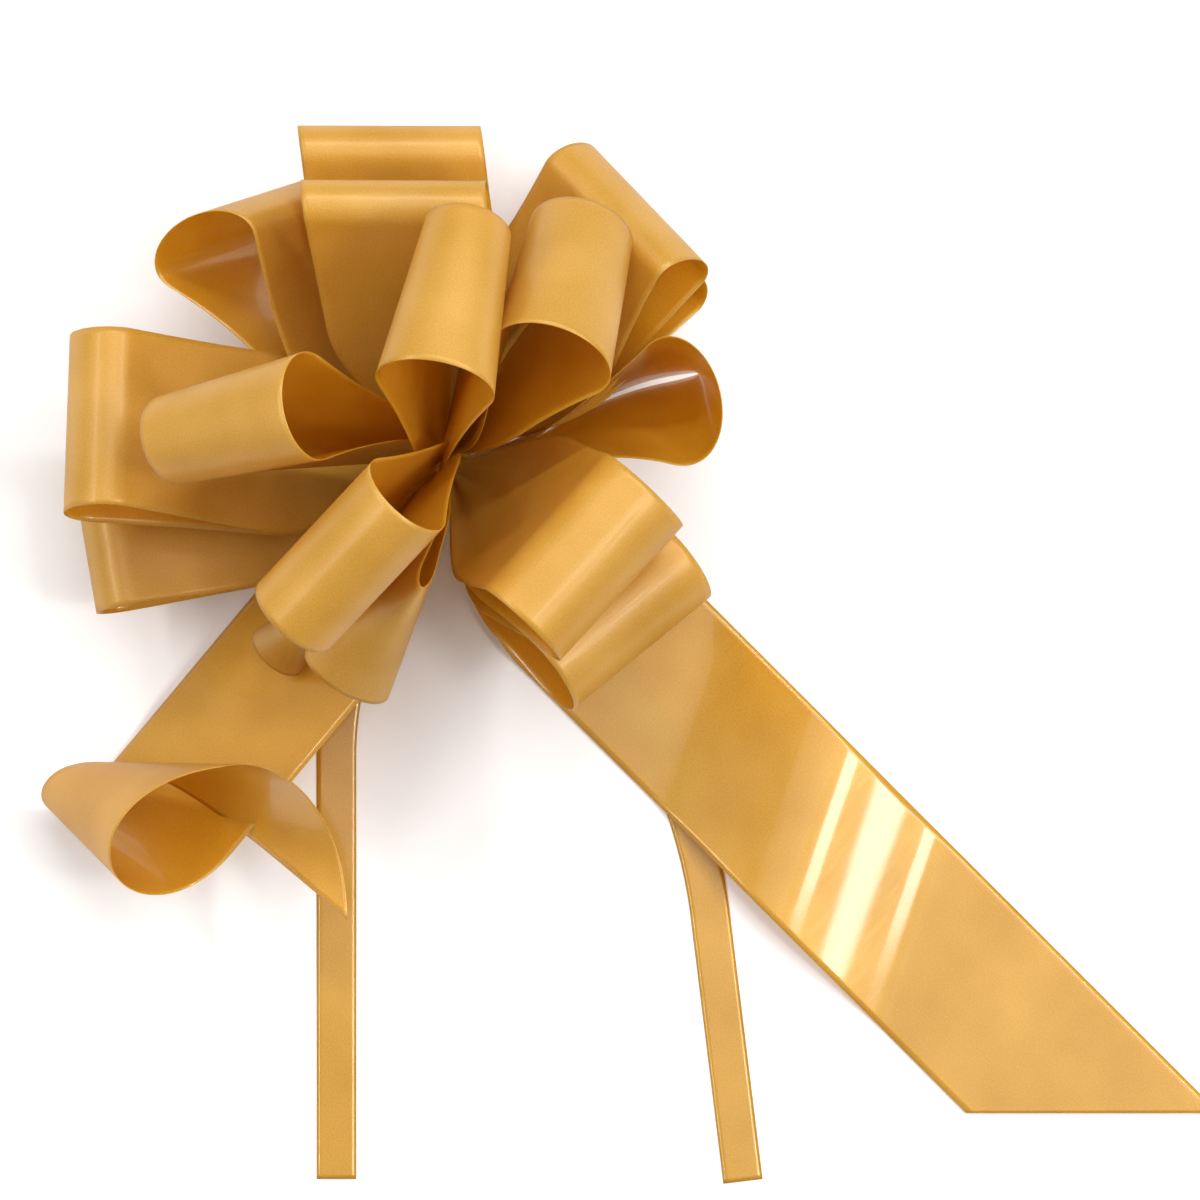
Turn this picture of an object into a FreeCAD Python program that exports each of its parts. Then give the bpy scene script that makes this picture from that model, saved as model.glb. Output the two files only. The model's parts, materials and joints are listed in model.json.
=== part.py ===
import FreeCAD, Part
import math
import os
import Sketcher

# Pull bow of 50 mm ribbon, lying on its back. The origin is on the surface it rests on, under
# the centre where every loop is gathered; +Z is up, out of the face of the bow.
#
# Two wide ribbons are sealed to each other at narrow necks and slid along two pull ribbons
# until the necks stack up. Each length between two necks then stands out as a loop, and the
# last length of each wide ribbon is a tail.

doc = FreeCAD.newDocument("PullBow")
sheet = doc.addObject("Spreadsheet::Sheet", "Sizes")

# --- driving dimensions, in millimetres and degrees -------------------------------------------
ribbonSizes = {
    "ribbon_width": 50,
    "ribbon_thickness": 0.5,
    "neck_width": 9,
    "neck_thickness": 0.9,
    "neck_start": 12,           # from the centre line to the free end of a loop's neck
    "neck_end": 17,             # where the two legs of a loop part
    "full_width_from": 58,      # where the waist has opened to the full ribbon
}
coreSizes = {
    "seal_count": 9,
    "seal_diameter": 9,
    "seal_thickness": 2,
    "seal_pitch": 2.6,
    "seal_gap": 0.4,            # between the knot's top and the lowest seal
    "knot_diameter": 13,
    "knot_height": 9,
    "knot_round": 2.5,
    "stem_width": 4.5,
    "stem_thickness": 0.8,
    "stem_spacing": 3.2,
    "stem_clearance": 0.2,
}
tailSizes = {
    "tail_level": 12.5,         # height of both tail necks
    "tail_rest": 1,             # clear height under a lying tail, room for a pull ribbon
    "tail_neck": 5,
    "tail_dive_angle": 30,
    "right_tail_azimuth": -45,
    "right_tail_first_run": 30,
    "right_tail_wave_radius": 130,
    "right_tail_wave_angle": 14,
    "right_tail_last_run": 66,
    "left_tail_azimuth": -130,
    "left_tail_run": 72,
    "curl_radius": 15,
    "curl_angle": 200,
    "curl_end_radius": 60,
    "curl_end_angle": 35,
}
pullSizes = {
    "pull_width": 11,
    "pull_thickness": 0.5,
    "pull_start": 9,
    "right_pull_azimuth": -50,
    "right_pull_first_run": 54,
    "right_pull_radius": 150,
    "right_pull_turn": 33,
    "right_pull_last_run": 74,
    "left_pull_azimuth": -118,
    "left_pull_first_run": 31,
    "left_pull_radius": 100,
    "left_pull_turn": 28,
    "left_pull_last_run": 117,
}
# Each loop: height of its neck, direction seen from above, rise above level, roll of the ribbon
# about that direction (0 stands on edge, 90 lies flat), reach from the centre line, radius of
# its rounded end.
loopColumns = ("level", "azimuth", "rise", "roll", "reach", "end_radius")
loops = {
    "loop_top_back": (22.5, 97, 18, 112, 98.5, 7),
    "loop_top_front": (25, 100, 35, 90, 94, 7),
    "loop_upper_right_low": (15.5, 50, 6, 70, 87, 7.5),
    "loop_upper_right": (24, 53, 19, 86, 95.5, 7),
    "loop_right_side": (23, 11, 11, 8, 78, 12),
    "loop_lower_right_low": (19.5, -42, 32, 84, 86.5, 13),
    "loop_lower_right": (28, -34, 55.5, 90, 95, 13),
    "loop_bottom": (22, -109, 46, -14, 74, 7.5),
    "loop_lower_left_low": (18.5, -131.5, 25, 0, 70, 5),
    "loop_lower_left": (35, -133.5, 66, 0, 100, 13),
    "loop_left_low": (19, -170.5, 4, 84, 102, 9),
    "loop_left": (19.5, 173.5, 22, 94, 111, 10.5),
    "loop_left_front": (28.5, 169, 51.5, 19, 102, 13.5),
    "loop_upper_left": (18, 127, 8, 118, 92, 10.5),
    "loop_centre_up": (31, 86, 61.5, -6.5, 101.5, 14),
    "loop_centre_right": (31, 53, 44.5, 17.5, 92.5, 13),
}

row = 0


def addCell(alias, value):
    global row
    row += 1
    sheet.set(f"A{row}", alias)
    sheet.set(f"B{row}", str(value))
    sheet.setAlias(f"B{row}", alias)


for group in (ribbonSizes, coreSizes, tailSizes, pullSizes):
    for alias, value in group.items():
        addCell(alias, value)
for name, values in loops.items():
    for column, value in zip(loopColumns, values):
        addCell(f"{name}_{column}", value)
doc.recompute()


def size(alias):
    return float(sheet.get(alias))


# --- helpers ------------------------------------------------------------------------------------
bodies = []


def newBody(name):
    body = doc.addObject("PartDesign::Body", name)
    body.Label = name
    bodies.append(body)
    return body


def newSketch(body, role, name):
    plane = next(f for f in body.Origin.OriginFeatures if f.Role == role)
    sketch = body.newObject("Sketcher::SketchObject", name)
    sketch.AttachmentSupport = [(plane, "")]
    sketch.MapMode = "FlatFace"
    return sketch


def dimension(sketch, constraint, expression):
    """Adds a dimension and ties it to an expression on the sheet."""
    index = sketch.addConstraint(constraint)
    sketch.setExpression(f"Constraints[{index}]", expression)


def point(x, y):
    return FreeCAD.Vector(x, y, 0)


def arc(centre, radius, start, end):
    circle = Part.Circle(centre, FreeCAD.Vector(0, 0, 1), radius)
    return Part.ArcOfCircle(circle, start, end)


def polygon(sketch, corners):
    """Closed outline of straight lines whose corners coincide; returns the first line's index."""
    first = sketch.GeometryCount
    count = len(corners)
    for i in range(count):
        sketch.addGeometry(Part.LineSegment(point(*corners[i]), point(*corners[(i + 1) % count])))
    for i in range(count):
        sketch.addConstraint(
            Sketcher.Constraint("Coincident", first + i, 2, first + (i + 1) % count, 1)
        )
    return first


def pad(body, sketch, expression, name, symmetric=True):
    feature = body.newObject("PartDesign::Pad", name)
    feature.Profile = sketch
    if symmetric:
        feature.SideType = "Symmetric"
    feature.setExpression("Length", expression)
    return feature


def cutThrough(body, sketch, name):
    feature = body.newObject("PartDesign::Pocket", name)
    feature.Profile = sketch
    feature.Type = "ThroughAll"
    feature.SideType = "Symmetric"
    return feature


def aim(body, level, azimuth, rise, roll, offset=(0, 0, 0)):
    """Local x points outward, local z is across the ribbon, local y from leg to leg."""
    turn = FreeCAD.Rotation(azimuth, -rise, roll)
    base = FreeCAD.Vector(0, 0, level) + turn.multVec(FreeCAD.Vector(*offset))
    body.Placement = FreeCAD.Placement(base, turn)


# --- a loop: teardrop band, narrowed to its neck --------------------------------------------------
def loopProfile(sketch, name):
    """Side view of the loop: the sealed neck, two hollow legs and a round end."""
    neckHalf = size("neck_thickness") / 2
    start = size("neck_start")
    legs = size("neck_end")
    thickness = size("ribbon_thickness")
    endRadius = size(f"{name}_end_radius")
    endX = size(f"{name}_reach") - endRadius
    span = endX - legs
    legRadius = (span**2 / (endRadius - neckHalf) - endRadius - neckHalf) / 2
    legY = neckHalf + legRadius
    slope = math.atan2(legY, span)
    tip = math.acos(legY / (legRadius + thickness))

    outer = sketch.addGeometry(Part.LineSegment(point(start, -neckHalf), point(start, neckHalf)))
    sketch.addGeometry(Part.LineSegment(point(start, neckHalf), point(legs, neckHalf)))
    sketch.addGeometry(arc(point(legs, legY), legRadius, -math.pi / 2, -slope))
    sketch.addGeometry(arc(point(endX, 0), endRadius, slope - math.pi, math.pi - slope))
    sketch.addGeometry(arc(point(legs, -legY), legRadius, slope, math.pi / 2))
    sketch.addGeometry(Part.LineSegment(point(legs, -neckHalf), point(start, -neckHalf)))
    neckEnd, upperNeck, upperLeg, end, lowerLeg, lowerNeck = range(outer, outer + 6)

    innerRadius = legRadius + thickness
    inner = sketch.addGeometry(arc(point(legs, legY), innerRadius, tip - math.pi / 2, -slope))
    sketch.addGeometry(
        arc(point(endX, 0), endRadius - thickness, slope - math.pi, math.pi - slope)
    )
    sketch.addGeometry(arc(point(legs, -legY), innerRadius, slope, math.pi / 2 - tip))
    upperInner, innerEnd, lowerInner = range(inner, inner + 3)

    add = sketch.addConstraint
    add(Sketcher.Constraint("Coincident", neckEnd, 2, upperNeck, 1))
    add(Sketcher.Constraint("Coincident", lowerNeck, 2, neckEnd, 1))
    add(Sketcher.Constraint("Horizontal", upperNeck))
    add(Sketcher.Constraint("Horizontal", lowerNeck))
    add(Sketcher.Constraint("Vertical", upperNeck, 2, lowerNeck, 1))
    add(Sketcher.Constraint("Symmetric", neckEnd, 1, neckEnd, 2, -1))
    add(Sketcher.Constraint("Tangent", upperNeck, 2, upperLeg, 1))
    add(Sketcher.Constraint("Tangent", upperLeg, 2, end, 2))
    add(Sketcher.Constraint("Tangent", end, 1, lowerLeg, 1))
    add(Sketcher.Constraint("Tangent", lowerLeg, 2, lowerNeck, 1))
    add(Sketcher.Constraint("PointOnObject", end, 3, -1))
    add(Sketcher.Constraint("Coincident", upperInner, 3, upperLeg, 3))
    add(Sketcher.Constraint("Coincident", innerEnd, 3, end, 3))
    add(Sketcher.Constraint("Coincident", lowerInner, 3, lowerLeg, 3))
    add(Sketcher.Constraint("Tangent", upperInner, 2, innerEnd, 2))
    add(Sketcher.Constraint("Tangent", innerEnd, 1, lowerInner, 1))
    add(Sketcher.Constraint("Coincident", upperInner, 1, lowerInner, 2))
    dimension(sketch, Sketcher.Constraint("DistanceX", -1, 1, neckEnd, 2, start), "Sizes.neck_start")
    dimension(sketch, Sketcher.Constraint("DistanceX", -1, 1, upperNeck, 2, legs), "Sizes.neck_end")
    dimension(
        sketch,
        Sketcher.Constraint("DistanceY", neckEnd, 1, neckEnd, 2, 2 * neckHalf),
        "Sizes.neck_thickness",
    )
    dimension(
        sketch,
        Sketcher.Constraint("DistanceX", -1, 1, end, 3, endX),
        f"Sizes.{name}_reach - Sizes.{name}_end_radius",
    )
    dimension(
        sketch, Sketcher.Constraint("Radius", end, endRadius), f"Sizes.{name}_end_radius"
    )
    dimension(
        sketch,
        Sketcher.Constraint("Radius", innerEnd, endRadius - thickness),
        f"Sizes.{name}_end_radius - Sizes.ribbon_thickness",
    )


def waistProfile(sketch, start, legs, full, startExpr, legsExpr, fullExpr):
    """Plan view of what is cut away on both sides of a neck, out to the full ribbon width."""
    neckHalf = size("neck_width") / 2
    half = size("ribbon_width") / 2
    margin = 1.0
    for side in (1, -1):
        first = polygon(
            sketch,
            [
                (start - margin, side * neckHalf),
                (legs, side * neckHalf),
                (full, side * half),
                (full, side * (half + margin)),
                (start - margin, side * (half + margin)),
            ],
        )
        for edge in (first, first + 3):
            sketch.addConstraint(Sketcher.Constraint("Horizontal", edge))
        for edge in (first + 2, first + 4):
            sketch.addConstraint(Sketcher.Constraint("Vertical", edge))
        dimension(
            sketch,
            Sketcher.Constraint("DistanceX", -1, 1, first, 1, start - margin),
            f"{startExpr} - {margin}",
        )
        dimension(sketch, Sketcher.Constraint("DistanceX", -1, 1, first, 2, legs), legsExpr)
        dimension(sketch, Sketcher.Constraint("DistanceX", -1, 1, first + 1, 2, full), fullExpr)
        low, high = ((-1, 1), (first, 1)) if side > 0 else ((first, 1), (-1, 1))
        dimension(
            sketch, Sketcher.Constraint("DistanceY", *low, *high, neckHalf), "Sizes.neck_width / 2"
        )
        low, high = ((-1, 1), (first + 1, 2)) if side > 0 else ((first + 1, 2), (-1, 1))
        dimension(
            sketch, Sketcher.Constraint("DistanceY", *low, *high, half), "Sizes.ribbon_width / 2"
        )
        low, high = ((-1, 1), (first + 2, 2)) if side > 0 else ((first + 2, 2), (-1, 1))
        dimension(
            sketch,
            Sketcher.Constraint("DistanceY", *low, *high, half + margin),
            f"Sizes.ribbon_width / 2 + {margin}",
        )


def makeLoop(name):
    body = newBody(name)
    profile = newSketch(body, "XY_Plane", f"{name}_profile")
    loopProfile(profile, name)
    pad(body, profile, "Sizes.ribbon_width", f"{name}_band")
    waist = newSketch(body, "XZ_Plane", f"{name}_waist")
    waistProfile(
        waist,
        size("neck_start"),
        size("neck_end"),
        size("full_width_from"),
        "Sizes.neck_start",
        "Sizes.neck_end",
        "Sizes.full_width_from",
    )
    cutThrough(body, waist, f"{name}_waist_cut")
    level, azimuth, rise, roll = (size(f"{name}_{c}") for c in loopColumns[:4])
    aim(body, level, azimuth, rise, roll)


# --- strips that lie on the surface: a rectangle carried along a path of tangent runs and arcs -----
def pathSketch(sketch, start, steps):
    """steps: ("run", length, expression) or ("bend", radius, degrees, radiusExpr, degreesExpr).
    A bend to the left is positive. The path starts along the sketch's x axis."""
    place = point(*start)
    heading = 0.0
    previous = None
    for step in steps:
        if step[0] == "run":
            end = place + point(math.cos(heading), math.sin(heading)) * step[1]
            line = sketch.addGeometry(Part.LineSegment(place, end))
            if previous is None:
                sketch.addConstraint(Sketcher.Constraint("Horizontal", line))
                sketch.addConstraint(Sketcher.Constraint("PointOnObject", line, 1, -2))
                sketch.addConstraint(Sketcher.Constraint("PointOnObject", line, 1, -1))
            else:
                sketch.addConstraint(Sketcher.Constraint("Tangent", *previous, line, 1))
            dimension(sketch, Sketcher.Constraint("Distance", line, step[1]), step[2])
            previous = (line, 2)
            place = end
        else:
            _, radius, degrees, radiusExpr, degreesExpr = step
            left = degrees > 0
            side = 1 if left else -1
            centre = place + point(-math.sin(heading), math.cos(heading)) * (side * radius)
            turned = heading + math.radians(degrees)
            fromAngle = heading - side * math.pi / 2
            toAngle = turned - side * math.pi / 2
            first, last = (fromAngle, toAngle) if left else (toAngle, fromAngle)
            curve = sketch.addGeometry(arc(centre, radius, first, last))
            near, far = (1, 2) if left else (2, 1)
            sketch.addConstraint(Sketcher.Constraint("Tangent", *previous, curve, near))
            dimension(sketch, Sketcher.Constraint("Radius", curve, radius), radiusExpr)
            dimension(
                sketch,
                Sketcher.Constraint("Angle", curve, math.radians(abs(degrees))),
                degreesExpr,
            )
            previous = (curve, far)
            place = centre + point(math.cos(toAngle), math.sin(toAngle)) * radius
            heading = turned
    return place, heading


def stripSection(sketch, across, up, acrossExpr, upExpr):
    """Ribbon's cross-section centred on the path's start."""
    first = polygon(
        sketch,
        [(-across / 2, -up / 2), (across / 2, -up / 2), (across / 2, up / 2), (-across / 2, up / 2)],
    )
    for edge in (first, first + 2):
        sketch.addConstraint(Sketcher.Constraint("Horizontal", edge))
    for edge in (first + 1, first + 3):
        sketch.addConstraint(Sketcher.Constraint("Vertical", edge))
    sketch.addConstraint(Sketcher.Constraint("Symmetric", first, 1, first + 1, 2, -1, 1))
    dimension(sketch, Sketcher.Constraint("DistanceX", first, 1, first, 2, across), acrossExpr)
    dimension(sketch, Sketcher.Constraint("DistanceY", first + 1, 1, first + 1, 2, up), upExpr)


def makeStrip(name, pathRole, steps, across, up, acrossExpr, upExpr):
    body = newBody(name)
    section = newSketch(body, "YZ_Plane", f"{name}_section")
    stripSection(section, across, up, acrossExpr, upExpr)
    path = newSketch(body, pathRole, f"{name}_path")
    end, _ = pathSketch(path, (0, 0), steps)
    pipe = body.newObject("PartDesign::AdditivePipe", f"{name}_strip")
    pipe.Profile = section
    pipe.Spine = path
    pipe.Transition = "Transformed"
    return body, end


diveRadius = (
    "(Sizes.tail_level - Sizes.tail_rest - Sizes.ribbon_thickness / 2)"
    " / (2 * (1 - cos(Sizes.tail_dive_angle * 1 deg)))"
)


def diveSteps():
    """From the neck's height down to the surface, in two equal arcs."""
    angle = size("tail_dive_angle")
    drop = size("tail_level") - size("tail_rest") - size("ribbon_thickness") / 2
    radius = drop / (2 * (1 - math.cos(math.radians(angle))))
    angleExpr = "Sizes.tail_dive_angle * 1 deg"
    return [
        ("run", size("tail_neck"), "Sizes.tail_neck"),
        ("bend", radius, -angle, diveRadius, angleExpr),
        ("bend", radius, angle, diveRadius, angleExpr),
    ]


def runStep(alias):
    return ("run", size(alias), f"Sizes.{alias}")


def bendStep(radiusAlias, angleAlias, side, times=1):
    return (
        "bend",
        size(radiusAlias),
        side * times * size(angleAlias),
        f"Sizes.{radiusAlias}",
        f"Sizes.{angleAlias} * {times} deg",
    )


def cutNeckWaist(body, name):
    """Narrows a tail to its neck; lengths are counted from the neck's own end."""
    waist = newSketch(body, "XY_Plane", f"{name}_waist")
    waistProfile(
        waist,
        0.0,
        size("neck_end") - size("neck_start"),
        size("full_width_from") - size("neck_start"),
        "0",
        "Sizes.neck_end - Sizes.neck_start",
        "Sizes.full_width_from - Sizes.neck_start",
    )
    cutThrough(body, waist, f"{name}_waist_cut")


def placeTail(body, azimuth):
    aim(body, size("tail_level"), azimuth, 0, 0, (size("neck_start"), 0, 0))


def makeRightTail():
    name = "tail_right"
    wave = ("right_tail_wave_radius", "right_tail_wave_angle")
    steps = diveSteps() + [
        runStep("right_tail_first_run"),
        bendStep(*wave, 1),
        bendStep(*wave, -1, 2),
        bendStep(*wave, 1),
        runStep("right_tail_last_run"),
    ]
    body, end = makeStrip(
        name,
        "XZ_Plane",
        steps,
        size("ribbon_width"),
        size("ribbon_thickness"),
        "Sizes.ribbon_width",
        "Sizes.ribbon_thickness",
    )
    cutNeckWaist(body, name)
    # slanted free end: the far corner stays, the near one is a ribbon's width short
    half = size("ribbon_width") / 2
    slant = newSketch(body, "XY_Plane", f"{name}_slant")
    first = polygon(slant, [(end.x, half), (end.x, -half), (end.x - 2 * half, -half)])
    slant.addConstraint(Sketcher.Constraint("Horizontal", first + 1))
    slant.addConstraint(Sketcher.Constraint("Symmetric", first, 1, first, 2, -1))
    dimension(
        slant, Sketcher.Constraint("DistanceY", first, 2, first, 1, 2 * half), "Sizes.ribbon_width"
    )
    dimension(
        slant, Sketcher.Constraint("DistanceX", first + 1, 2, first + 1, 1, 2 * half),
        "Sizes.ribbon_width",
    )
    dimension(
        slant,
        Sketcher.Constraint("DistanceX", -1, 1, first, 1, end.x),
        f"Sizes.tail_neck + 2 * {diveRadius} * sin(Sizes.tail_dive_angle * 1 deg)"
        " + Sizes.right_tail_first_run + Sizes.right_tail_last_run"
        " + 4 * Sizes.right_tail_wave_radius * sin(Sizes.right_tail_wave_angle * 1 deg)",
    )
    cutThrough(body, slant, f"{name}_slant_cut")
    placeTail(body, size("right_tail_azimuth"))


def makeLeftTail():
    name = "tail_left"
    steps = diveSteps() + [
        runStep("left_tail_run"),
        bendStep("curl_radius", "curl_angle", 1),
        bendStep("curl_end_radius", "curl_end_angle", 1),
    ]
    body, _ = makeStrip(
        name,
        "XZ_Plane",
        steps,
        size("ribbon_width"),
        size("ribbon_thickness"),
        "Sizes.ribbon_width",
        "Sizes.ribbon_thickness",
    )
    cutNeckWaist(body, name)
    placeTail(body, size("left_tail_azimuth"))


def makePull(side, turnSign):
    """A pull ribbon's free length, lying flat on the surface in one long easy bend."""
    name = f"pull_ribbon_{side}"
    steps = [
        runStep(f"{side}_pull_first_run"),
        bendStep(f"{side}_pull_radius", f"{side}_pull_turn", turnSign),
        runStep(f"{side}_pull_last_run"),
    ]
    body, _ = makeStrip(
        name,
        "XY_Plane",
        steps,
        size("pull_width"),
        size("pull_thickness"),
        "Sizes.pull_width",
        "Sizes.pull_thickness",
    )
    aim(body, size("pull_thickness") / 2, size(f"{side}_pull_azimuth"), 0, 0,
        (size("pull_start"), 0, 0))


# --- the core -------------------------------------------------------------------------------------
def roundSketch(body, name, diameterAlias):
    sketch = newSketch(body, "XY_Plane", name)
    circle = Part.Circle(point(0, 0), FreeCAD.Vector(0, 0, 1), size(diameterAlias) / 2)
    index = sketch.addGeometry(circle)
    sketch.addConstraint(Sketcher.Constraint("Coincident", index, 3, -1, 1))
    dimension(
        sketch,
        Sketcher.Constraint("Diameter", index, size(diameterAlias)),
        f"Sizes.{diameterAlias}",
    )
    return sketch


def slotSketch(body, name, width, thickness, widthExpr, thicknessExpr):
    """Two rectangles side by side, where the two pull ribbons run through the stack."""
    sketch = newSketch(body, "XY_Plane", name)
    for side in (1, -1):
        centre = side * size("stem_spacing") / 2
        first = polygon(
            sketch,
            [
                (centre - thickness / 2, -width / 2),
                (centre + thickness / 2, -width / 2),
                (centre + thickness / 2, width / 2),
                (centre - thickness / 2, width / 2),
            ],
        )
        for edge in (first, first + 2):
            sketch.addConstraint(Sketcher.Constraint("Horizontal", edge))
        sketch.addConstraint(Sketcher.Constraint("Vertical", first + 3))
        sketch.addConstraint(Sketcher.Constraint("Symmetric", first + 1, 1, first + 1, 2, -1))
        dimension(
            sketch, Sketcher.Constraint("DistanceX", first, 1, first, 2, thickness), thicknessExpr
        )
        dimension(
            sketch, Sketcher.Constraint("DistanceY", first + 1, 1, first + 1, 2, width), widthExpr
        )
        near = (first + 3, 1) if side > 0 else (first + 1, 1)
        inner = size("stem_spacing") / 2 - thickness / 2
        ends = ((-1, 1), near) if side > 0 else (near, (-1, 1))
        dimension(
            sketch,
            Sketcher.Constraint("DistanceX", *ends[0], *ends[1], inner),
            f"Sizes.stem_spacing / 2 - ({thicknessExpr}) / 2",
        )
    return sketch


def makeSeal(number):
    """One sealed neck: a pressed stack of ribbon with two slots for the pull ribbons."""
    name = f"neck_seal_{number}"
    body = newBody(name)
    pad(body, roundSketch(body, f"{name}_disc", "seal_diameter"), "Sizes.seal_thickness",
        f"{name}_pad", symmetric=False)
    gap = 2 * size("stem_clearance")
    slots = slotSketch(
        body,
        f"{name}_slots",
        size("stem_width") + gap,
        size("stem_thickness") + gap,
        "Sizes.stem_width + 2 * Sizes.stem_clearance",
        "Sizes.stem_thickness + 2 * Sizes.stem_clearance",
    )
    cutThrough(body, slots, f"{name}_slot_cut")
    height = size("knot_height") + size("seal_gap") + (number - 1) * size("seal_pitch")
    body.Placement = FreeCAD.Placement(FreeCAD.Vector(0, 0, height), FreeCAD.Rotation())


def makeStem(side, direction):
    """The gathered length of one pull ribbon, up through the stack of necks."""
    name = f"pull_stem_{side}"
    heightExpr = (
        "Sizes.seal_gap + (Sizes.seal_count - 1) * Sizes.seal_pitch + Sizes.seal_thickness"
    )
    box = doc.addObject("Part::Box", name)
    box.Label = name
    box.setExpression("Length", "Sizes.stem_thickness")
    box.setExpression("Width", "Sizes.stem_width")
    box.setExpression("Height", heightExpr)
    base = FreeCAD.Vector(
        direction * size("stem_spacing") / 2 - size("stem_thickness") / 2,
        -size("stem_width") / 2,
        size("knot_height"),
    )
    box.Placement = FreeCAD.Placement(base, FreeCAD.Rotation())
    bodies.append(box)


def makeKnot():
    """The knot in the pull ribbons that locks the bow, flattened where it meets the gift."""
    body = newBody("tie_knot")
    knot = pad(body, roundSketch(body, "tie_knot_round", "knot_diameter"), "Sizes.knot_height",
               "tie_knot_pad", symmetric=False)
    doc.recompute()
    edges = [
        f"Edge{i + 1}"
        for i, edge in enumerate(knot.Shape.Edges)
        if edge.BoundBox.ZMin > size("knot_height") / 2
    ]
    rounding = body.newObject("PartDesign::Fillet", "tie_knot_rounding")
    rounding.Base = (knot, edges)
    rounding.setExpression("Radius", "Sizes.knot_round")


for name in loops:
    makeLoop(name)
makeRightTail()
makeLeftTail()
makePull("left", 1)
makePull("right", -1)
for number in range(1, int(size("seal_count")) + 1):
    makeSeal(number)
makeStem("left", -1)
makeStem("right", 1)
makeKnot()

# --- check and write --------------------------------------------------------------------------------
doc.recompute()
failed = [o.Name for o in doc.Objects if "Invalid" in o.State or "Error" in o.State]
for body in bodies:
    if body.Shape.isNull() or not body.Shape.isValid() or len(body.Shape.Solids) != 1:
        failed.append(body.Label)
if failed:
    raise RuntimeError("failed objects: " + ", ".join(failed))

os.makedirs("parts", exist_ok=True)
for body in bodies:
    body.Shape.exportStep(f"parts/{body.Label}.step")
print(f"{len(bodies)} sub-parts written")
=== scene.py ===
import json
import math

import bpy
import numpy as np
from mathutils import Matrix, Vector


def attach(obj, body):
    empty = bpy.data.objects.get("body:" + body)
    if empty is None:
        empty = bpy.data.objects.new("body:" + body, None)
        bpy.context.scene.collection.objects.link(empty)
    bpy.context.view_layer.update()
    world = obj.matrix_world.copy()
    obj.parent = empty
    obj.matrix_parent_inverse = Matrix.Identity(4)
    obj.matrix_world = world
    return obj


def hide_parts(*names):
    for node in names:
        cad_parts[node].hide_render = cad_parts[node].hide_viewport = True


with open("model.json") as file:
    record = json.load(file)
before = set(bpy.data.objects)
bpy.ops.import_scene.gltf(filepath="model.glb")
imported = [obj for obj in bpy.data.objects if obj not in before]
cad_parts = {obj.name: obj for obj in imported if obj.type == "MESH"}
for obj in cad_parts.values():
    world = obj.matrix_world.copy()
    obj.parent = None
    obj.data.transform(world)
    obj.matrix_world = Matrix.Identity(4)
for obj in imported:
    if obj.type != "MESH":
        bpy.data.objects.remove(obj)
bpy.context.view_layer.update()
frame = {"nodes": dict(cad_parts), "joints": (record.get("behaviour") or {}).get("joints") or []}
scene = bpy.context.scene
mm = 0.001

# What the whole bow is made of. Sizes are in metres.
ribbonStock = {
    "width": 50 * mm,
    "thickness": 0.22 * mm,      # a little over the real film, so that cut edges show
    "neckWidth": 8 * mm,
    "neckFrom": 4.8 * mm,        # where a loop leaves the pressed necks
    "waistRound": 1.15,          # how slowly the waist opens: 1 is a plain quarter of a sine
    "clear": 0.3 * mm,           # nothing lies lower than this above the surface
    "stepAlong": 1.3 * mm,
    "stripsAcross": 28,
}


# Small tools

def hexColour(code, alpha=1.0):
    channels = [int(code[i:i + 2], 16) / 255 for i in (1, 3, 5)]
    linear = [c / 12.92 if c <= 0.04045 else ((c + 0.055) / 1.055) ** 2.4 for c in channels]
    return (*linear, alpha)


def addNode(tree, kind, inputs=None, **settings):
    made = tree.nodes.new(kind)
    for key, value in settings.items():
        setattr(made, key, value)
    for key, value in (inputs or {}).items():
        if isinstance(value, bpy.types.NodeSocket):
            tree.links.new(value, made.inputs[key])
        else:
            made.inputs[key].default_value = value
    return made


def unit(v):
    return v / np.linalg.norm(v)


def ease(x):
    x = np.clip(x, 0, 1)
    return x * x * (3 - 2 * x)


def nodePoints(name):
    return np.array([v.co for v in frame["nodes"][name].data.vertices])


def hingeOf(body):
    return next(j for j in frame["joints"] if j["child"] == body)


def hash01(name):
    # a fixed number from 0 to 1 for each name
    return (sum(ord(c) * (i + 3) for i, c in enumerate(name)) % 97) / 97


def evenly(line, step):
    # the same line with points a fixed step apart, and each point's distance along it
    gaps = np.linalg.norm(np.diff(line, axis=0), axis=1)
    along = np.concatenate([[0], np.cumsum(gaps)])
    places = np.linspace(0, along[-1], int(along[-1] / step) + 2)
    return np.stack([np.interp(places, along, line[:, k]) for k in range(line.shape[1])], 1), places


# Materials

satin = {
    "streakLength": 12 * mm,     # the drawn streaks run across the ribbon
    "streakWidth": 0.5 * mm,
    "grainSize": 0.5 * mm,       # pearl flake is finer: drawn as coarse as it needs to show
    "patchSize": 26 * mm,
    "bumpHeight": 0.05 * mm,
    "lightThrough": 0.48,        # share of the light that goes through each side of the film
}


def noiseOver(tree, flat, scale, detail, roughness):
    placed = addNode(tree, "ShaderNodeMapping", {"Vector": flat, "Scale": scale})
    noise = addNode(
        tree, "ShaderNodeTexNoise",
        {"Vector": placed.outputs["Vector"], "Scale": 1.0, "Detail": detail, "Roughness": roughness},
    )
    return noise.outputs["Fac"]


def together(tree, first, second, share):
    # first plus a share of second, both about 0.5 on average
    part = addNode(tree, "ShaderNodeMath", {0: second, 1: share}, operation="MULTIPLY")
    return addNode(tree, "ShaderNodeMath", {0: first, 1: part.outputs[0]}, operation="ADD").outputs[0]


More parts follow.
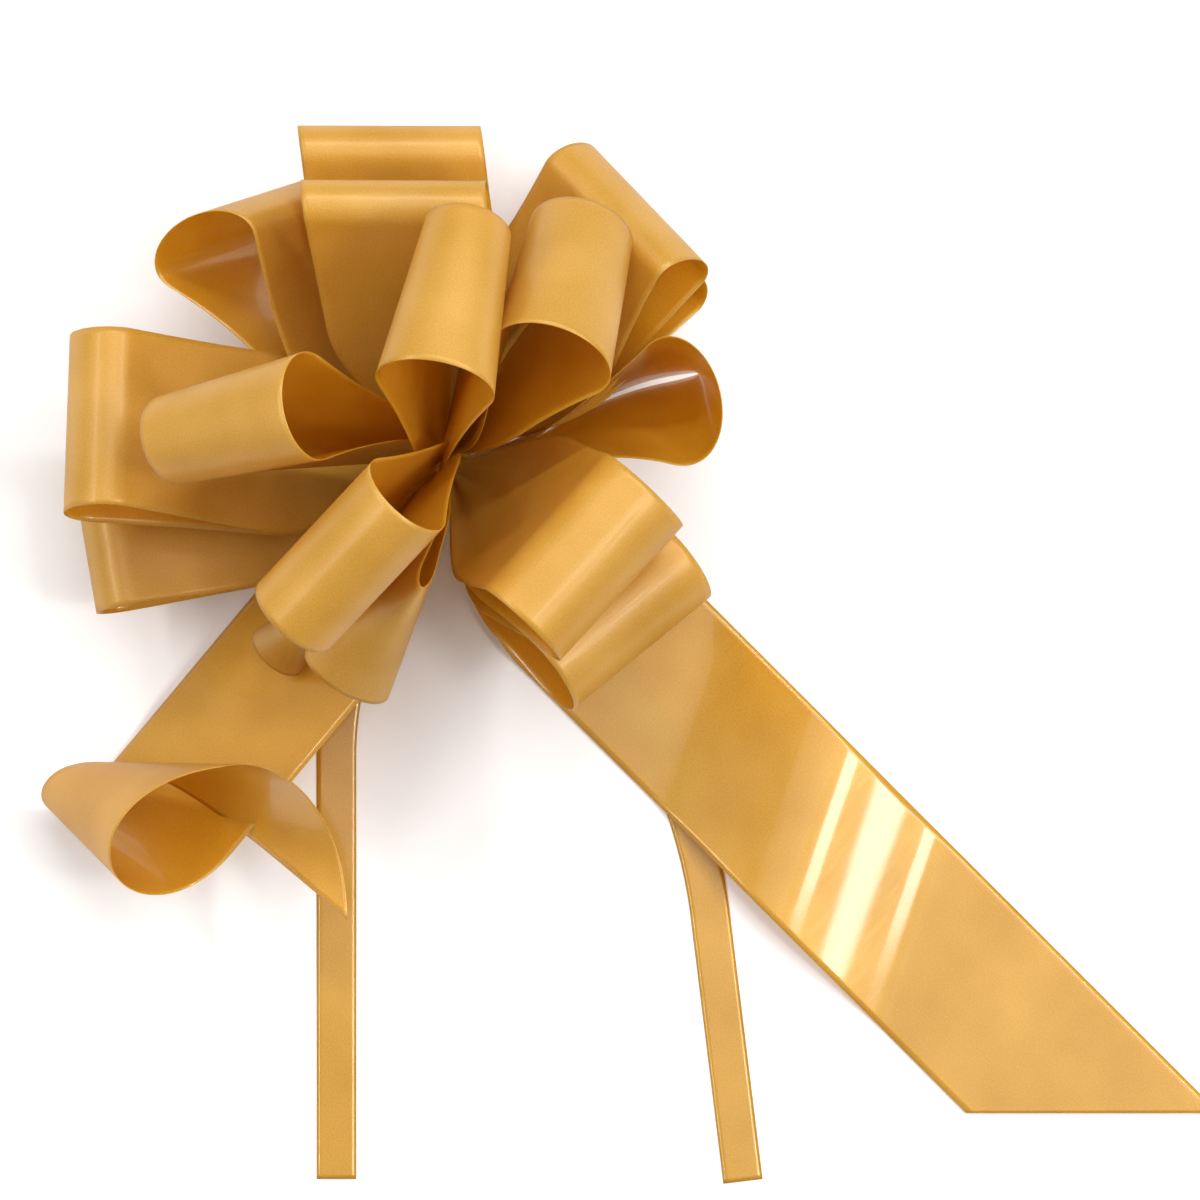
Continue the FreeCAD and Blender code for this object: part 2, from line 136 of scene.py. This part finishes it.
# Polypropylene film with pearl pigment, drawn and brushed across: deep gold where it looks away
# from the light, a pale grainy sheen where it faces it, and a clear hard glint along each bend.
def satinFilm(name, look):
    material = bpy.data.materials.new(name)
    material.use_nodes = True
    tree = material.node_tree
    tree.nodes.clear()
    flat = addNode(tree, "ShaderNodeUVMap", uv_map="ribbonMap").outputs["UV"]
    streaks = noiseOver(tree, flat, (1 / satin["streakWidth"], 1 / satin["streakLength"], 1), 4.0, 0.6)
    grain = noiseOver(tree, flat, (1 / satin["grainSize"],) * 3, 3.0, 0.7)
    patches = noiseOver(tree, flat, (1 / satin["patchSize"],) * 3, 2.0, 0.5)
    fine = together(tree, grain, streaks, 0.9)
    worn = together(tree, grain, patches, 0.7)
    amount = addNode(tree, "ShaderNodeMapRange", {"Value": worn, "From Min": 0.6, "From Max": 1.1})
    colour = addNode(
        tree, "ShaderNodeMix",
        {0: amount.outputs["Result"], 6: hexColour(look["deep"]), 7: hexColour(look["colour"])},
        data_type="RGBA",
    )
    rough = addNode(
        tree, "ShaderNodeMapRange",
        {"Value": fine, "From Min": 0.65, "From Max": 1.25,
         "To Min": look["roughness"] - 0.12, "To Max": look["roughness"] + 0.12},
    )
    bump = addNode(
        tree, "ShaderNodeBump", {"Height": fine, "Strength": 0.5, "Distance": satin["bumpHeight"]}
    )
    shader = addNode(
        tree, "ShaderNodeBsdfPrincipled",
        {"Base Color": colour.outputs[2], "Roughness": rough.outputs["Result"],
         "Normal": bump.outputs["Normal"], "Metallic": look["metallic"], "IOR": look["ior"],
         "Coat Weight": look["coat"], "Coat Roughness": look["coatRoughness"], "Coat IOR": 1.49},
    )
    through = addNode(tree, "ShaderNodeBsdfTranslucent", {"Color": colour.outputs[2]})
    film = addNode(
        tree, "ShaderNodeMixShader",
        {0: satin["lightThrough"], 1: shader.outputs[0], 2: through.outputs[0]},
    )
    addNode(tree, "ShaderNodeOutputMaterial", {"Surface": film.outputs[0]})
    return material


# IOR is above polypropylene's 1.49, because the pearl flakes in it are coated with titanium dioxide.
ribbonFace = satinFilm("satinPolypropyleneFace", {
    "colour": "#F0C546", "deep": "#DDA70F", "roughness": 0.38, "metallic": 0.2, "ior": 1.95,
    "coat": 1.0, "coatRoughness": 0.08,
})
# the reverse is the matt side, paler and a little pink
ribbonBack = satinFilm("satinPolypropyleneBack", {
    "colour": "#F0C55C", "deep": "#DDAA28", "roughness": 0.46, "metallic": 0.15, "ior": 1.8,
    "coat": 0.3, "coatRoughness": 0.22,
})
print("materials made")


# Ribbon pieces: a grid of points, its length along and its place across, given a film's thickness

def ribbonPiece(name, points, along, across):
    rows, columns = points.shape[:2]
    points[..., 2] = np.maximum(points[..., 2], ribbonStock["clear"])
    mesh = bpy.data.meshes.new(name)
    index = np.arange(rows * columns).reshape(rows, columns)
    quads = np.stack([index[:-1, :-1], index[1:, :-1], index[1:, 1:], index[:-1, 1:]], -1).reshape(-1, 4)
    mesh.from_pydata(points.reshape(-1, 3).tolist(), [], quads.tolist())
    mapping = mesh.uv_layers.new(name="ribbonMap")
    flat = np.stack([along.ravel(), across.ravel()], 1)
    mapping.data.foreach_set("uv", flat[quads.ravel()].astype(np.float32).ravel())
    mesh.polygons.foreach_set("use_smooth", [True] * len(quads))
    mesh.materials.append(ribbonFace)
    mesh.materials.append(ribbonBack)
    piece = bpy.data.objects.new(name, mesh)
    scene.collection.objects.link(piece)
    film = piece.modifiers.new("film", "SOLIDIFY")
    film.thickness = ribbonStock["thickness"]
    film.offset = -1
    film.material_offset = 1
    film.material_offset_rim = 0
    return piece


# Loops

# skew: how much further one edge reaches; flare: how much rounder one edge is than the other;
# fat: roundness beside the plain loop; lean and drift: shift of the far end across the ribbon and
# square to it; twist: turn of the far end about its own line, in degrees; fullFrom: where the
# waist has opened to the full width.
plainLoop = {
    "skew": 0.0, "flare": 0.0, "fat": 1.0, "lean": 0.0, "drift": 0.0, "twist": 0.0,
    "fullFrom": 50 * mm, "pleat": 0.5 * mm,
}
loopNeck = {
    "halfGap": 0.3 * mm,         # between the two legs' mid-lines and the middle at the neck
    "legsFrom": 10 * mm,         # the legs part here
    "openFrom": 8 * mm,          # the waist opens, and the pleats fade, from here
    "pleatFrom": 4 * mm,
    "pleatRise": 8 * mm,
    "pleatFade": 40 * mm,
    "pleatTurns": 9,             # radians of pleat from the ribbon's middle to its edge
    "grownAt": 0.75,             # share of the reach over which a loop takes on its own turn
}
loopLooks = {
    "loop_top_back": {"skew": -3.5 * mm, "lean": -3.4 * mm, "twist": -20},
    "loop_top_front": {"skew": -4 * mm, "twist": -5},
    "loop_upper_right_low": {"fat": 1.4, "twist": -12},
    "loop_upper_right": {"fat": 1.6, "twist": -24},
    "loop_right_side": {"skew": 7 * mm, "fat": 0.78, "flare": 0.92, "drift": 8 * mm},
    "loop_lower_right_low": {"fat": 1.1, "twist": -10},
    "loop_lower_right": {"fat": 1.15, "twist": -10},
    "loop_bottom": {"flare": -0.75},
    "loop_lower_left_low": {"flare": -0.7},
    "loop_lower_left": {},
    "loop_left_low": {"fat": 1.2, "twist": 10},
    "loop_left": {"fat": 1.15, "twist": 9},
    "loop_left_front": {"flare": 0.1},
    "loop_upper_left": {"skew": -8 * mm, "fat": 1.9, "twist": 18},
    "loop_centre_up": {"flare": 0.16},
    "loop_centre_right": {"fat": 1.2, "flare": 0.08},
}


def loopPlace(name):
    hinge = hingeOf(name)
    neck = np.array(hinge["pos_m"])
    across = unit(np.array(hinge["axis"]))
    local = nodePoints(name) - neck
    out = local.mean(0)
    out = unit(out - across * (out @ across))
    side = np.cross(across, out)
    centre = neck - out * (np.hypot(*neck[:2]) / np.hypot(*out[:2]))
    spread = nodePoints(name) - centre
    return centre, out, side, across, (spread @ out).max(), np.abs(spread @ side).max()


def teardrop(reach, radius):
    # mid-line of a loop seen on edge: neck, concave leg, round end, and back
    start, half, legsFrom = ribbonStock["neckFrom"], loopNeck["halfGap"], loopNeck["legsFrom"]
    endAt = reach - radius
    span = endAt - legsFrom
    legRadius = (span**2 / (radius - half) - radius - half) / 2
    slope = math.atan2(half + legRadius, span)
    leg = [(legsFrom + legRadius * math.cos(t), half + legRadius + legRadius * math.sin(t))
           for t in np.linspace(-math.pi / 2, -slope, 40)]
    end = [(endAt + radius * math.cos(t), radius * math.sin(t))
           for t in np.linspace(math.pi - slope, 0, 40)]
    upper = np.array([(start, half)] + leg + end[1:])
    return np.vstack([upper, (upper[:-1] * (1, -1))[::-1]])


def makeLoop(name, look):
    look = {**plainLoop, **look}
    centre, out, side, across, reach, radius = loopPlace(name)
    line, along = evenly(teardrop(reach, radius), ribbonStock["stepAlong"])
    f = np.linspace(-1, 1, ribbonStock["stripsAcross"] + 1)
    a, b = line[:, :1], line[:, 1:]
    neckHalf, fullHalf = ribbonStock["neckWidth"] / 2, ribbonStock["width"] / 2
    openFrom = loopNeck["openFrom"]
    opened = np.clip((a - openFrom) / (look["fullFrom"] - openFrom), 0, 1)
    half = neckHalf + (fullHalf - neckHalf) * np.sin(opened * math.pi / 2) ** ribbonStock["waistRound"]
    grown = ease((a - loopNeck["legsFrom"]) / (reach * loopNeck["grownAt"]))
    outward = a + look["skew"] * grown * f
    sideways = b * (1 + (look["fat"] - 1) * grown) * (1 + look["flare"] * np.minimum(3 * grown, 1) * f)
    gathered = 1 - ease((a - openFrom) / loopNeck["pleatFade"])
    risen = ease((a - loopNeck["pleatFrom"]) / loopNeck["pleatRise"])
    pleats = np.cos(loopNeck["pleatTurns"] * f + 6 * hash01(name))
    sideways = sideways + look["pleat"] * gathered * pleats * risen
    width = half * f + look["lean"] * grown
    turn = np.radians(look["twist"]) * grown
    turned = sideways * np.cos(turn) - width * np.sin(turn) + look["drift"] * grown
    width = sideways * np.sin(turn) + width * np.cos(turn)
    points = (centre + outward[..., None] * out + turned[..., None] * side + width[..., None] * across)
    mapAlong = np.repeat(along[:, None], len(f), 1) + 0.7 * hash01(name)
    mapAcross = np.repeat(f[None, :] * fullHalf, len(along), 0) + 0.3 * hash01(name)
    piece = ribbonPiece(f"{name}_ribbon", points, mapAlong, mapAcross)
    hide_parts(name)
    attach(piece, name)
    return piece


for loopName, loopLook in loopLooks.items():
    makeLoop(loopName, loopLook)
print("loops made")


# Tails

# Both tails leave the tie level, open to the full width and settle on to the surface.
tailNeck = {
    "openFrom": 10 * mm,
    "openOver": 44 * mm,
    "settleFrom": 14 * mm,
    "settleOver": 48 * mm,
}
tailRight = {
    "rest": 1.1 * mm,            # height of its middle where it lies
    "waveAt": 140 * mm,
    "waveHalf": 48 * mm,
    "waveHigh": 9.5 * mm,
    "waveSkew": 0.49,
}
# The left tail lies tilted, one edge on the surface, and its end rolls up on a cone.
tailLeft = {
    "lowEdgeAt": (-54.5 * mm, -37.7 * mm, 6.0 * mm),
    "tilt": 33.4,
    "dive": 4.6,
    "apex": (80.9 * mm, -29.1 * mm),    # along and across the flat ribbon, from the point above
    "foldAngle": 108.4,
    "length": 201.3 * mm,               # from the same point to the long corner
    "cutBack": 50 * mm,
    "bends": (4.0, 3.0, 4.9, 2.9, 3.4, 5.5, 5.6),
    "bendStep": 0.35,                   # radians of flat ribbon from one of those bends to the next
}


def tailFrame(name):
    hinge = hingeOf(name)
    axis = np.array(hinge["axis"])
    heading = unit(np.array([-axis[1], axis[0], 0.0]))
    left = np.array([-heading[1], heading[0], 0.0])
    neck = np.array(hinge["pos_m"])
    return neck, heading, left


def tailDrop(a, level, rest):
    # height of a tail's middle: level at the neck, eased down on to the surface
    return rest + (level - rest) * (1 - ease((a - tailNeck["settleFrom"]) / tailNeck["settleOver"]))


def tailHalf(a):
    neckHalf, fullHalf = ribbonStock["neckWidth"] / 2, ribbonStock["width"] / 2
    opened = np.clip((a - tailNeck["openFrom"]) / tailNeck["openOver"], 0, 1)
    return neckHalf + (fullHalf - neckHalf) * np.sin(opened * math.pi / 2) ** ribbonStock["waistRound"]


def makeTailRight():
    name = "tail_right"
    neck, heading, left = tailFrame(name)
    spread = nodePoints(name)
    far = (spread @ heading).max()
    f = np.linspace(-1, 1, ribbonStock["stripsAcross"] + 1)
    fullHalf = ribbonStock["width"] / 2
    # slanted free end: each lengthwise strip stops at the cut
    rows = int((far - ribbonStock["neckFrom"]) / ribbonStock["stepAlong"])
    share = np.linspace(0, 1, rows)[:, None]
    cutAt = far - (1 - f) * fullHalf
    a = ribbonStock["neckFrom"] + share * (cutAt - ribbonStock["neckFrom"])
    width = tailHalf(a) * f
    wave = (a + tailRight["waveSkew"] * width - tailRight["waveAt"]) / tailRight["waveHalf"]
    height = tailDrop(a, neck[2], tailRight["rest"]) + tailRight["waveHigh"] * ease(1 - np.abs(wave))
    points = a[..., None] * heading + width[..., None] * left
    points = points + height[..., None] * np.array([0, 0, 1.0])
    piece = ribbonPiece(f"{name}_ribbon", points, a, np.broadcast_to(f * fullHalf, a.shape))
    finishTail(piece, name)


def makeTailLeft():
    name, look = "tail_left", tailLeft
    neck, heading, left = tailFrame(name)
    edgeAt = np.array(look["lowEdgeAt"])
    tilt, dive = math.radians(look["tilt"]), math.radians(look["dive"])
    up = np.array([0, 0, 1.0])
    travel = heading * math.cos(dive) - up * math.sin(dive)
    square = heading * math.sin(dive) + up * math.cos(dive)
    across = left * math.cos(tilt) + square * math.sin(tilt)
    normal = square * math.cos(tilt) - left * math.sin(tilt)
    before = edgeAt @ heading
    f = np.linspace(-1, 1, ribbonStock["stripsAcross"] + 1)
    fullHalf = ribbonStock["width"] / 2
    rows = int((before + look["length"]) / ribbonStock["stepAlong"])
    share = np.linspace(0, 1, rows)[:, None]
    cutAt = before + look["length"] - look["cutBack"] * (f + 1) / 2
    a = ribbonStock["neckFrom"] + share * (cutAt - ribbonStock["neckFrom"])
    half = tailHalf(a)
    flat = np.stack([a - before, fullHalf + half * f], -1)
    rolled = rollUp(flat, look)
    lying = edgeAt + rolled[..., :1] * travel + rolled[..., 1:2] * across + rolled[..., 2:] * normal
    level = a[..., None] * heading + (half * f)[..., None] * left + neck[2] * up
    settled = ease((a - tailNeck["settleFrom"]) / tailNeck["settleOver"])[..., None]
    points = level * (1 - settled) + lying * settled
    piece = ribbonPiece(f"{name}_ribbon", points, a, np.broadcast_to(f * fullHalf, a.shape))
    finishTail(piece, name)


def rollUp(flat, look):
    # rolls the flat ribbon past the fold line on to a cone whose bend varies, keeping its size
    turn = math.radians(look["foldAngle"])
    fold = np.array([math.cos(turn), math.sin(turn), 0.0])
    beyond = np.array([math.sin(turn), -math.cos(turn), 0.0])
    inward = np.sign(np.cross(fold, beyond)[2])
    step = 0.002
    bendsAt = np.arange(len(look["bends"])) * look["bendStep"]
    ray, travel = fold.copy(), beyond.copy()
    rays = [ray.copy()]
    for i in range(int(bendsAt[-1] * 1.2 / step)):
        bend = np.interp(i * step, bendsAt, look["bends"])
        normal = np.cross(ray, travel) * inward
        travel = unit(travel + (bend * normal - ray) * step)
        ray = unit(ray + travel * step)
        travel = unit(travel - ray * (travel @ ray))
        rays.append(ray.copy())
    rays = np.array(rays)
    apex = np.array(look["apex"])
    offset = flat - apex
    angle = np.arctan2(offset @ beyond[:2], offset @ fold[:2])
    place = np.clip(angle / step, 0, len(rays) - 2)
    low = place.astype(int)
    part = (place - low)[..., None]
    ray = rays[low] * (1 - part) + rays[low + 1] * part
    rolled = np.append(apex, 0) + np.linalg.norm(offset, axis=-1)[..., None] * ray
    still = np.concatenate([flat, np.zeros_like(flat[..., :1])], -1)
    return np.where((angle > 0)[..., None], rolled, still)


def finishTail(piece, name):
    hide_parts(name)
    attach(piece, name)


makeTailRight()
makeTailLeft()
print("tails made")


# Pull ribbons

pullStock = {"half": 5.5 * mm, "height": 0.35 * mm, "stripsAcross": 8}
# start, first, radius and last in mm; heading and turn in degrees
pullRibbons = {
    "pull_ribbon_left": {"start": 9, "heading": -118, "first": 31, "radius": 100, "turn": 28, "last": 117},
    "pull_ribbon_right": {"start": 9, "heading": -50, "first": 54, "radius": 150, "turn": -33, "last": 74},
}


def makePull(name, look):
    heading = math.radians(look["heading"])
    place = np.array([math.cos(heading), math.sin(heading)]) * look["start"]
    line = [place]
    turned = math.radians(look["turn"])
    pieces = [(look["first"], 0), (look["radius"] * abs(turned), turned), (look["last"], 0)]
    for length, turn in pieces:
        steps = max(2, int(length))
        for i in range(steps):
            heading += turn / steps
            place = place + np.array([math.cos(heading), math.sin(heading)]) * length / steps
            line.append(place)
    line, along = evenly(np.array(line) * mm, ribbonStock["stepAlong"])
    tangent = np.gradient(line, axis=0)
    tangent /= np.linalg.norm(tangent, axis=1)[:, None]
    left = np.stack([-tangent[:, 1], tangent[:, 0]], 1)
    half = pullStock["half"]
    f = np.linspace(-1, 1, pullStock["stripsAcross"] + 1)
    flat = line[:, None, :] + left[:, None, :] * f[None, :, None] * half
    height = np.full(flat.shape[:2], pullStock["height"])
    points = np.concatenate([flat, height[..., None]], -1)
    mapAlong = np.repeat(along[:, None], len(f), 1)
    piece = ribbonPiece(f"{name}_ribbon", points, mapAlong, np.broadcast_to(f * half, mapAlong.shape))
    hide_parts(name)
    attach(piece, name)


for pullName, pullLook in pullRibbons.items():
    makePull(pullName, pullLook)
print("pull ribbons made")

# The tie: welded necks, stems and knot, mostly out of sight under the loops

tie = {
    "colour": "#D9A93A",
    # deep: painted shade, the colour at the bottom of the creases
    "deep": "#A8740F",
    "creaseWidth": 0.9 * mm,     # gathered ribbon pressed into narrow upright creases
    "creaseDepth": 0.25 * mm,
    "roughness": 0.42,
}


# The same polypropylene, gathered and welded under heat: creased and duller, with painted shade making the
# colour darker in the creases.
def pressedFilm():
    material = bpy.data.materials.new("pressedPolypropylene")
    material.use_nodes = True
    tree = material.node_tree
    tree.nodes.clear()
    place = addNode(tree, "ShaderNodeTexCoord").outputs["Object"]
    width = 1 / tie["creaseWidth"]
    creases = noiseOver(tree, place, (width, width, width / 6), 4.0, 0.6)
    grain = noiseOver(tree, place, (1 / satin["grainSize"],) * 3, 3.0, 0.7)
    both = together(tree, creases, grain, 0.4)
    # painted shade in the creases, mixed with random grain: the colour goes to deep where the crease
    # pattern is lowest
    amount = addNode(tree, "ShaderNodeMapRange", {"Value": both, "From Min": 0.45, "From Max": 0.95})
    colour = addNode(
        tree, "ShaderNodeMix",
        {0: amount.outputs["Result"], 6: hexColour(tie["deep"]), 7: hexColour(tie["colour"])},
        data_type="RGBA",
    )
    bump = addNode(
        tree, "ShaderNodeBump", {"Height": both, "Strength": 0.8, "Distance": tie["creaseDepth"]}
    )
    shader = addNode(
        tree, "ShaderNodeBsdfPrincipled",
        {"Base Color": colour.outputs[2], "Roughness": tie["roughness"], "Metallic": 0.1,
         "IOR": 1.49, "Normal": bump.outputs["Normal"]},
    )
    addNode(tree, "ShaderNodeOutputMaterial", {"Surface": shader.outputs[0]})
    return material


tieFilm = pressedFilm()
for nodeName, node in frame["nodes"].items():
    if nodeName.startswith(("neck_seal", "pull_stem", "tie_knot")):
        node.data.materials.clear()
        node.data.materials.append(tieFilm)
print("tie finished")


# Studio

studio = {
    "floorColour": "#FAFAFA",
    "skyStrength": 0.5,
    "exposure": -0.6,
    "cameraAt": (43.3 * mm, -37.7 * mm, 4.0),
    "viewWidth": 335 * mm,
}
# place, length and depth in metres, brightness in watts per square metre and steradian
softBoxes = {
    "overhead": {"place": (0.25, 0.45, 2.6), "long": 1.5, "deep": 1.5, "brightness": 2.6},
    "backStrip": {"place": (0.15, 1.05, 1.35), "long": 1.5, "deep": 0.1, "brightness": 44},
    "rightStrip": {"place": (1.05, 0.1, 1.35), "long": 1.5, "deep": 0.1, "brightness": 44},
    "leftStrip": {"place": (-1.1, 0.1, 1.1), "long": 1.5, "deep": 0.1, "brightness": 34},
    "tailGlint": {"place": (0.71, -0.25, 1.41), "long": 0.2, "deep": 0.2, "brightness": 40},
}


def makeStudio():
    bpy.ops.mesh.primitive_plane_add(size=8, location=(0, 0, 0))
    floor = bpy.context.object
    floor.name = "floor"
    paper = bpy.data.materials.new("matteBackdropPaper")
    paper.use_nodes = True
    shader = paper.node_tree.nodes["Principled BSDF"]
    shader.inputs["Base Color"].default_value = hexColour(studio["floorColour"])
    shader.inputs["Roughness"].default_value = 0.9
    floor.data.materials.append(paper)
    world = bpy.data.worlds.new("softStudio")
    scene.world = world
    world.use_nodes = True
    sky = world.node_tree.nodes["Background"]
    sky.inputs["Color"].default_value = (1, 1, 1, 1)
    sky.inputs["Strength"].default_value = studio["skyStrength"]
    for name, box in softBoxes.items():
        softBox(name, box)
    lens = bpy.data.cameras.new("lens")
    camera = bpy.data.objects.new("camera", lens)
    camera.location = studio["cameraAt"]
    lens.sensor_width = 36
    lens.lens = 36 * camera.location.z / studio["viewWidth"]
    lens.clip_end = 50
    scene.collection.objects.link(camera)
    scene.camera = camera
    scene.view_settings.view_transform = "Standard"
    scene.view_settings.exposure = studio["exposure"]


def softBox(name, box):
    data = bpy.data.lights.new(name, "AREA")
    data.shape = "RECTANGLE"
    data.size = box["long"]
    data.size_y = box["deep"]
    data.energy = box["brightness"] * math.pi * box["long"] * box["deep"]
    light = bpy.data.objects.new(name, data)
    light.location = box["place"]
    light.rotation_euler = Vector(box["place"]).to_track_quat("Z", "Y").to_euler()
    light.visible_camera = False
    scene.collection.objects.link(light)


makeStudio()
print("studio made")
